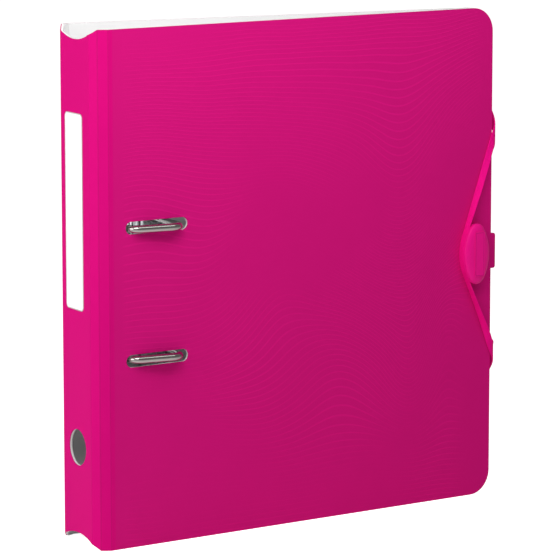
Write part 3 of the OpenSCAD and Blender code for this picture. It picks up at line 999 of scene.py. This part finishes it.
@dataclass
class ForeEdge:
    """Rolls a flat layout off the front cover, round the fore-edge and onto the back cover.

    The layout's X runs along the front cover from its fold, Y runs up, and Z is the height above
    the sheet.
    """

    front: Panel
    edge: float
    back_edge: Vector
    arc: float = 7.0 * MM
    bulge: float = 2.3 * MM
    crest: float = 0.75
    below_tongue: float = 100 * MM

    @classmethod
    def of(cls, front: Panel) -> "ForeEdge":
        """Finds the two covers' edges on the CAD model, away from the tongue.

        Args:
            front: the front cover's panel.

        Returns:
            The fore-edge.
        """
        spots = [v.co for v in frame["nodes"]["front_skin"].data.vertices]
        low = [spot for spot in spots if spot.z < cls.below_tongue]
        edge = max(front.along.dot(spot - front.origin) for spot in low)
        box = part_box("back_skin")
        return cls(front, edge, Vector((box[1].x, box[1].y, 0)))

    def place(self, spot: Vector) -> Vector:
        """Gives the place of a point of the layout.

        Args:
            spot: the point in the layout.

        Returns:
            The point in the binder's own place.
        """
        past = (spot.x - self.edge) / self.arc
        if past <= 0:
            return self.front.at(spot.x, spot.y, spot.z)
        up = UP * spot.y
        outward = Vector((0, spot.z, 0))
        if past >= 1:
            return self.back_edge + outward + up - Vector(((past - 1) * self.arc, 0, 0))
        reach = (self.bulge + spot.z) / self.crest
        first = self.front.at(self.edge, 0, spot.z)
        last = self.back_edge + outward
        second, third = first + self.front.along * reach, last + Vector((reach, 0, 0))
        rest = 1 - past
        curve = first * rest**3 + second * (3 * rest**2 * past)
        curve += third * (3 * rest * past**2)
        return curve + last * past**3 + up


class Half(Enum):
    """The upper or the lower of a pair of pieces."""

    UPPER = "upper"
    LOWER = "lower"


@dataclass
class Closure:
    """The elastic, its button on the front cover and its ends in the back cover."""

    ribbon: Ribbon
    front: Panel
    roll: ForeEdge
    middle: Vector
    lift: float = 0.15 * MM
    cap_steps: int = 9
    cap_side: float = 0.3
    cap_shoulder: float = 0.6
    plate: tuple[float, float] = (7.6 * MM, 29 * MM)
    plate_shift: float = 0.7 * MM
    plate_sink: float = 0.6 * MM
    plate_rise: float = 0.3 * MM
    plate_rim: float = 0.45 * MM
    plate_shade_band: float = 0.4 * MM
    plate_corner: float = 1.3 * MM
    haste: tuple[float, float] = (1.3, 3.2)
    slack_keep: float = 0.1
    slack_gap: float = 0.4 * MM
    flat_steps: int = 10
    hole_bend: float = 1.1 * MM
    hole_depth: float = 1.2 * MM
    hole_pinch: float = 0.4
    hole_steps: int = 6

    @classmethod
    def from_frame(cls, case: Case) -> "Closure":
        """Measures the closure on the CAD model.

        Args:
            case: the folded case.

        Returns:
            The closure.
        """
        front = case.panel("front_cover")
        low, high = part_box("button_neck")
        neck = frame["nodes"]["button_neck"].data.vertices
        along = [front.along.dot(v.co - front.origin) for v in neck]
        middle = Vector(((max(along) + min(along)) / 2, (low.z + high.z) / 2, 0))
        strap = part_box("elastic_back_upper")
        ribbon = Ribbon(4.5 * MM, strap[1].y - strap[0].y)
        return cls(ribbon, front, ForeEdge.of(front), middle)

    def build(self) -> None:
        """Builds every piece of the closure."""
        Shaper.refined("button_neck", "front_cover", BUTTON, 0.1 * MM, 50)
        Shaper.refined("button_washer", "front_cover", STEEL, 0.12 * MM)
        self.cap()
        self.name_plate()
        self.loop()
        for half in Half:
            self.back_run(half)
            Shaper.refined(f"elastic_end_{half.value}", "back_cover", STEEL, 0.15 * MM)

    def spots(self, node: str) -> list[Vector]:
        """Gives a node's corners in the front cover's own frame, about the button's middle."""
        place = self.front.matrix(self.middle.x, self.middle.y).inverted()
        return [place @ v.co for v in frame["nodes"][node].data.vertices]

    def cap(self) -> None:
        """Shapes the cap as a low oval dome: its outline, drawn in step by step and raised."""
        spots = self.spots("button_cap")
        base, top = min(s.z for s in spots), max(s.z for s in spots)
        half = Vector((max(s.x for s in spots), max(s.y for s in spots)))
        bm = Shaper.merged("button_cap")
        place = self.front.matrix(self.middle.x, self.middle.y)
        bmesh.ops.transform(bm, matrix=place.inverted(), verts=bm.verts[:])
        raised = [v for v in bm.verts if v.co.z > base + 0.01 * MM]
        bmesh.ops.delete(bm, geom=raised, context="VERTS")
        bmesh.ops.delete(bm, geom=bm.faces[:], context="FACES_ONLY")
        edges = bm.edges[:]
        bmesh.ops.contextual_create(bm, geom=edges)
        side = self.cap_side * (top - base)
        dome = top - base - side
        reach = self.cap_shoulder * half.x
        inset, level = 0.0, base
        for step in range(self.cap_steps + 1):
            angle = math.radians(90) * step / self.cap_steps
            target, rise = reach * (1 - math.cos(angle)), base + side + dome * math.sin(angle)
            edges, verts = drawn_out(bm, edges)
            shrink = [(size - target) / (size - inset) for size in half]
            scale = Vector((*shrink, 1))
            bmesh.ops.scale(bm, vec=scale, verts=verts)
            bmesh.ops.translate(bm, vec=(0, 0, rise - level), verts=verts)
            inset, level = target, rise
        bmesh.ops.contextual_create(bm, geom=edges)
        bmesh.ops.transform(bm, matrix=place, verts=bm.verts[:])
        Shaper.piece(bm, "button_dome", (BUTTON,), "front_cover", ("button_cap",), smooth=60)

    def name_plate(self) -> None:
        """Raises the plain rectangle on the cap, with a shallow sunk field whose sloped walls carry
        painted shade.
        """
        top = max(s.z for s in self.spots("button_cap"))
        bm = bmesh.new()
        bmesh.ops.create_grid(bm, x_segments=1, y_segments=1, size=0.5)
        bmesh.ops.scale(bm, vec=(*self.plate, 1), verts=bm.verts[:])
        bmesh.ops.bevel(bm, geom=bm.verts[:], offset=self.plate_corner, segments=5, profile=0.5,
                        affect="VERTICES", clamp_overlap=True, material=-1)
        made = bmesh.ops.extrude_face_region(bm, geom=bm.faces[:])["geom"]
        lid = next(g for g in made if isinstance(g, bmesh.types.BMFace))
        bmesh.ops.translate(bm, vec=(0, 0, self.plate_sink + self.plate_rise), verts=lid.verts[:])
        bmesh.ops.inset_region(bm, faces=[lid], thickness=self.plate_rim, use_even_offset=True)
        sunk = -self.plate_rise / 2
        shaded_slopes = bmesh.ops.inset_region(bm, faces=[lid], thickness=self.plate_shade_band, depth=sunk,
                                        use_even_offset=True)
        # The sunk field's walls take the painted shade.
        for face in shaded_slopes["faces"]:
            face.material_index = 1
        across = self.middle.x + self.plate_shift
        place = self.front.matrix(across, self.middle.y, top - self.plate_sink)
        bmesh.ops.transform(bm, matrix=place, verts=bm.verts[:])
        Shaper.piece(bm, "button_plate", (BUTTON, BUTTON_GROOVE_SHADE), "front_cover")

    def neck_path(self) -> list[Vector]:
        """Gives the elastic's centre line round the spine side of the neck, from top to bottom.

        Returns:
            The line's points in the layout.
        """
        spots = self.spots("button_neck")
        top = max(s.z for s in spots)
        upper = (s for s in spots if s.z > top - 0.01 * MM and s.x < 0.5 * MM)
        rim = {(round(s.x, 6), round(s.y, 6)) for s in upper}
        turning = sorted(rim, key=lambda spot: math.atan2(-spot[0], spot[1]))
        outline = [Vector((x, y, 0)) for x, y in turning]
        stand = self.lift + self.ribbon.thickness / 2
        path = []
        for before, spot, after in zip(outline, outline[1:], outline[2:]):
            run = (after - before).normalized()
            path.append(self.middle + spot + Vector((run.y, -run.x, 0)) * stand)
        return path

    def anchor(self, half: Half) -> Vector:
        """Gives an anchor's place in the layout.

        Args:
            half: which anchor.

        Returns:
            The place.
        """
        low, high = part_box(f"elastic_end_{half.value}")
        inward = self.roll.back_edge.x - (low.x + high.x) / 2
        return Vector((self.roll.edge + self.roll.arc + inward, (low.z + high.z) / 2, 0))

    def lines(self) -> tuple[Vector, list[Vector], Vector]:
        """Gives the elastic's whole line in the layout.

        Returns:
            The upper anchor, the part of the neck's path that it touches, and the lower anchor.
        """
        path = self.neck_path()
        upper, lower = self.anchor(Half.UPPER), self.anchor(Half.LOWER)

        def leaving(target: Vector) -> int:
            """Gives the index of the path's point where a straight run to the target leaves it."""
            gaps = [spot - target for spot in path]
            return max(range(len(path)), key=lambda i: math.atan2(abs(gaps[i].y), gaps[i].x))

        return upper, path[leaving(upper):leaving(lower) + 1], lower

    def corner(self, neck: Vector, target: Vector) -> Vector:
        """Gives where a run from the neck to an anchor reaches the back cover."""
        return neck.lerp(target, (self.roll.edge + self.roll.arc - neck.x) / (target.x - neck.x))

    def standing(self, centre: Vector, run: Vector, turn: float) -> tuple[Vector, Vector, Vector]:
        """Gives one station of the elastic in the layout.

        Args:
            centre: the centre line's point.
            run: the way that the elastic runs, from the upper anchor to the lower.
            turn: 1 where the elastic stands on edge and 0 where it lies flat.

        Returns:
            The station.
        """
        angle = turn * math.pi / 2
        side = Vector((run.y, -run.x, 0))
        out = (side * math.sin(angle) + UP * math.cos(angle)).normalized()
        height = self.lift + self.ribbon.width / 2 * math.sin(angle)
        height += self.ribbon.thickness / 2 * math.cos(angle)
        return centre + UP * height, run.cross(out).normalized(), out

    def run(
        self, neck: Vector, target: Vector, haste: float, steps: int = 60
    ) -> list[tuple[Vector, float]]:
        """Gives points from the neck to the back of the fore-edge, and the elastic's turn at each.

        Args:
            neck: where the elastic leaves the neck.
            target: the anchor that it runs to.
            haste: how late the elastic lies down.
            steps: the number of points.

        Returns:
            The points and turns.
        """
        end = self.corner(neck, target)
        at_edge = (self.roll.edge - neck.x) / (end.x - neck.x)
        points = []
        for step in range(1, steps + 1):
            share = step / steps
            points.append((neck.lerp(end, share), 1 - min(1.0, share / at_edge) ** haste))
        return points

    def strap(
        self, name: str, node: str, stations: Sequence[tuple[Vector, Vector, Vector]]
    ) -> bpy.types.Object:
        """Sweeps elastic through stations of the layout and rolls it round the fore-edge.

        Args:
            name: the piece's name.
            node: the CAD node that it stands for.
            stations: its stations.

        Returns:
            The piece.
        """
        bm = self.ribbon.sweep(stations)
        for vert in bm.verts:
            vert.co = self.roll.place(vert.co)
        return Shaper.piece(bm, name, (ELASTIC,), "back_cover", (node,), smooth=70)

    def loop(self) -> None:
        """Makes the elastic's front loop, from one back corner of the fore-edge to the other."""
        upper, around, lower = self.lines()
        rising = self.run(around[0], upper, self.haste[0])
        falling = self.run(around[-1], lower, self.haste[1])
        marks = rising[::-1] + [(spot, 1.0) for spot in around] + falling
        stations = []
        for index, (centre, turn) in enumerate(marks):
            before = marks[max(index - 1, 0)][0]
            after = marks[min(index + 1, len(marks) - 1)][0]
            stations.append(self.standing(centre, (after - before).normalized(), turn))
        piece = self.strap("elastic_band", "elastic_loop", stations)
        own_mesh(piece)

    def back_run(self, half: Half) -> None:
        """Makes one run of the elastic on the back cover, from the fore-edge into its hole.

        Args:
            half: which run.
        """
        upper, around, lower = self.lines()
        neck, target = (around[0], upper) if half is Half.UPPER else (around[-1], lower)
        start = self.corner(neck, target)
        run = (target - start).normalized()
        shares = [step / self.flat_steps for step in range(self.flat_steps + 1)]
        stations = [self.standing(start.lerp(target, share), run, 0) for share in shares]
        last, wide, _ = stations[-1]
        for step in range(1, self.hole_steps + 2):
            angle = math.radians(90) * min(step, self.hole_steps) / self.hole_steps
            forward, down = math.sin(angle), 1 - math.cos(angle)
            centre = last + run * self.hole_bend * forward - UP * self.hole_bend * down
            if step > self.hole_steps:
                centre -= UP * self.hole_depth
            narrow = wide * (1 - self.hole_pinch * forward)
            stations.append((centre, narrow, UP * math.cos(angle) + run * forward))
        node = f"elastic_back_{half.value}"
        self.strap(f"{node}_strap", node, stations)


# ---- mechanism ----


@dataclass
class Mechanism:
    """The lever, the rings and what carries them."""

    steel_round: float = 0.25 * MM
    grip_round: float = 0.7 * MM
    steel_nodes: dict[str, str] = field(default_factory=lambda: {
        "base_plate": "back_cover", "lever_pin": "back_cover", "lever_arm": "lever",
        "roller_pin": "lever", "compressor_bar": "compressor",
    })

    def build(self) -> None:
        """Builds every piece of the mechanism."""
        for node, body in self.steel_nodes.items():
            Shaper.refined(node, body, STEEL, self.steel_round, 40)
        for half in Half:
            Shaper.refined(f"ring_post_{half.value}", "back_cover", CHROME, 0.2 * MM, 30)
            for reach in ("near", "far"):
                rivet = f"rivet_{half.value}_{reach}"
                Shaper.refined(rivet, "back_cover", STEEL, self.steel_round, 30)
        Shaper.refined("arch_wire", "arch_wire", CHROME, 0.1 * MM, 50)
        Shaper.refined("lever_grip", "lever", BLACK, self.grip_round, 40)
        Shaper.refined("roller", "roller", NYLON, 0.3 * MM, 40)


# ---- surround ----


@dataclass(frozen=True)
class Softbox:
    """One soft light of the studio."""

    name: str
    place: tuple[float, float, float]
    aim: tuple[float, float, float]
    size: tuple[float, float]
    power: float
    spread: float = 180
    mirrored: bool = True

    def build(self) -> None:
        """Hangs the light and turns it to what it lights."""
        lamp = bpy.data.lights.new(self.name, "AREA")
        lamp.shape = "RECTANGLE"
        lamp.size, lamp.size_y = self.size
        lamp.energy = self.power
        lamp.spread = math.radians(self.spread)
        holder = stand(self.name, lamp)
        holder.visible_glossy = self.mirrored
        holder.location = self.place
        towards = Vector(self.aim) - Vector(self.place)
        holder.rotation_euler = towards.to_track_quat("-Z", "Y").to_euler()


@dataclass(frozen=True)
class Viewpoint:
    """The camera: a long lens from the front left, a little above."""

    azimuth: float = -24.86
    elevation: float = 9.1
    distance: float = 2.2053
    lens: float = 226.43
    aim: tuple[float, float, float] = (0, -0.025, 0.159)
    slide: tuple[float, float] = (-0.01365, -0.00529)

    def build(self) -> None:
        """Places the camera and makes it the scene's own."""
        turn, tilt = math.radians(self.azimuth), math.radians(self.elevation)
        level = math.cos(tilt)
        back = Vector((math.sin(turn) * level, -math.cos(turn) * level, math.sin(tilt)))
        right = Vector((math.cos(turn), math.sin(turn), 0))
        target = Vector(self.aim) + right * self.slide[0] + UP * self.slide[1]
        data = bpy.data.cameras.new("Camera")
        data.lens = self.lens
        data.sensor_width = 36
        data.clip_end = 50
        camera = stand("Camera", data)
        camera.location = target + back * self.distance
        camera.rotation_euler = (-back).to_track_quat("-Z", "Y").to_euler()
        bpy.context.scene.camera = camera


@dataclass
class Studio:
    """Floor, air and lights."""

    floor_size: float = 12.0
    air: float = 0.2
    glow: float = 0.9
    floor_light: float = 0.08
    floor_shade: float = 0.92
    floor_roughness: float = 0.9
    floor_shine: float = 0.1
    view: Viewpoint = field(default_factory=Viewpoint)
    lights: tuple[Softbox, ...] = (
        Softbox("Key", (-0.35, -0.38, 0.52), (-0.13, -0.04, 0.28), (0.2, 0.2), 0.79),
        Softbox("Top", (0.02, -0.32, 0.66), (0.02, -0.03, 0.30), (0.7, 0.35), 1.58, mirrored=False),
        Softbox("Streak", (-0.05, -0.30, 0.50), (-0.10, -0.03, 0.16), (0.5, 0.08), 0.3),
        Softbox("Side", (-1.2, -0.5, 0.5), (-0.13, -0.04, 0.2), (0.6, 0.6), 1.22, 110),
        Softbox("Rim", (-1.0, 0.25, 0.5), (-0.15, -0.02, 0.16), (0.6, 0.6), 3.62),
        Softbox("Inside", (-0.112, -0.030, 0.159), (-0.112, 0, 0.159), (0.03, 0.09), 0.009, 120),
    )

    def build(self) -> None:
        """Builds the surroundings."""
        self.view.build()
        for light in self.lights:
            light.build()
        self.sky()
        self.floor()
        bpy.context.scene.view_settings.view_transform = "Standard"

    def sky(self) -> None:
        """Fills the air with even light, and shows it white behind the binder."""
        world = bpy.data.worlds.new("Studio air")
        bpy.context.scene.world = world
        world.use_nodes = True
        wiring = Wiring(world.node_tree)
        background = world.node_tree.nodes["Background"]
        wiring.settle(background, Color=WHITE, Strength=wiring.seen(self.air, 1))

    def floor(self) -> None:
        """Lays the plain pale floor."""
        bm = bmesh.new()
        bmesh.ops.create_grid(bm, x_segments=1, y_segments=1, size=self.floor_size / 2)
        floor = stand("Floor", bm)
        paint = bpy.data.materials.new("floor_paint")
        paint.use_nodes = True
        shader = paint.node_tree.nodes["Principled BSDF"]
        wiring = Wiring(paint.node_tree)
        wiring.settle(
            shader, Base_Color=(*[self.floor_shade] * 3, 1), Roughness=self.floor_roughness,
            Specular_IOR_Level=self.floor_shine, Emission_Color=WHITE,
            Emission_Strength=wiring.seen(self.floor_light, self.glow),
        )
        floor.data.materials.append(paint)


def main() -> None:
    """Builds the binder and its surroundings."""
    logging.basicConfig(level=logging.INFO, format="%(name)s: %(message)s")
    Studio().build()
    case = Case()
    case.build()
    Label().build(case.panel("spine"))
    Mechanism().build()
    Closure.from_frame(case).build()


if __name__ == "__main__":
    main()
